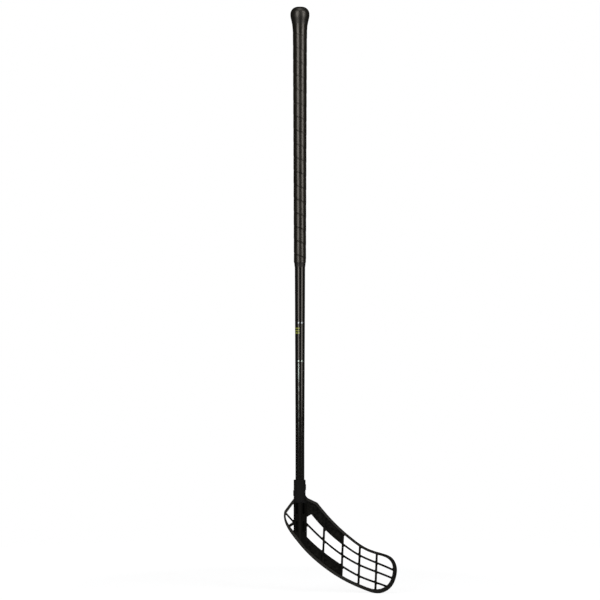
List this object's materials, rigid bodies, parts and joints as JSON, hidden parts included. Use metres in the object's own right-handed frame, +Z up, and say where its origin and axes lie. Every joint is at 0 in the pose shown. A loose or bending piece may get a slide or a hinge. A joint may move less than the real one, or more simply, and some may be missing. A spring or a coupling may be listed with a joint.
{
  "type": "floorball stick",
  "caption": "Floorball stick: a tapered hollow shaft with a wound grip and a knobbed end cap, and a hooked lattice blade screwed on its lower end, for hitting a light ball.",
  "frame": {"origin": "on the shaft's axis at the middle of the wound handle, where the stick is held", "axes": "+Z up the shaft towards the end cap, +X from the shaft towards the blade's toe, -Y the side that the hollow of the blade faces"},
  "size_m": [0.2138, 0.0412, 1.1099],
  "materials": {
    "shaft_composite": "satin lacquer on fibre composite",
    "cap_plastic": "soft moulded plastic",
    "grip_wrap": "cushioned polyurethane wrap",
    "ring_rubber": "smooth rubber",
    "blade_plastic": "moulded polyethylene",
    "screw_steel": "black coated steel"
  },
  "bodies": {
    "root": {"shaft_tube": "shaft_composite", "end_cap": "cap_plastic", "grip_tape": "grip_wrap", "grip_end_ring": "ring_rubber", "blade": "blade_plastic", "upper_blade_screw": "screw_steel", "lower_blade_screw": "screw_steel"}
  },
  "joints": []
}
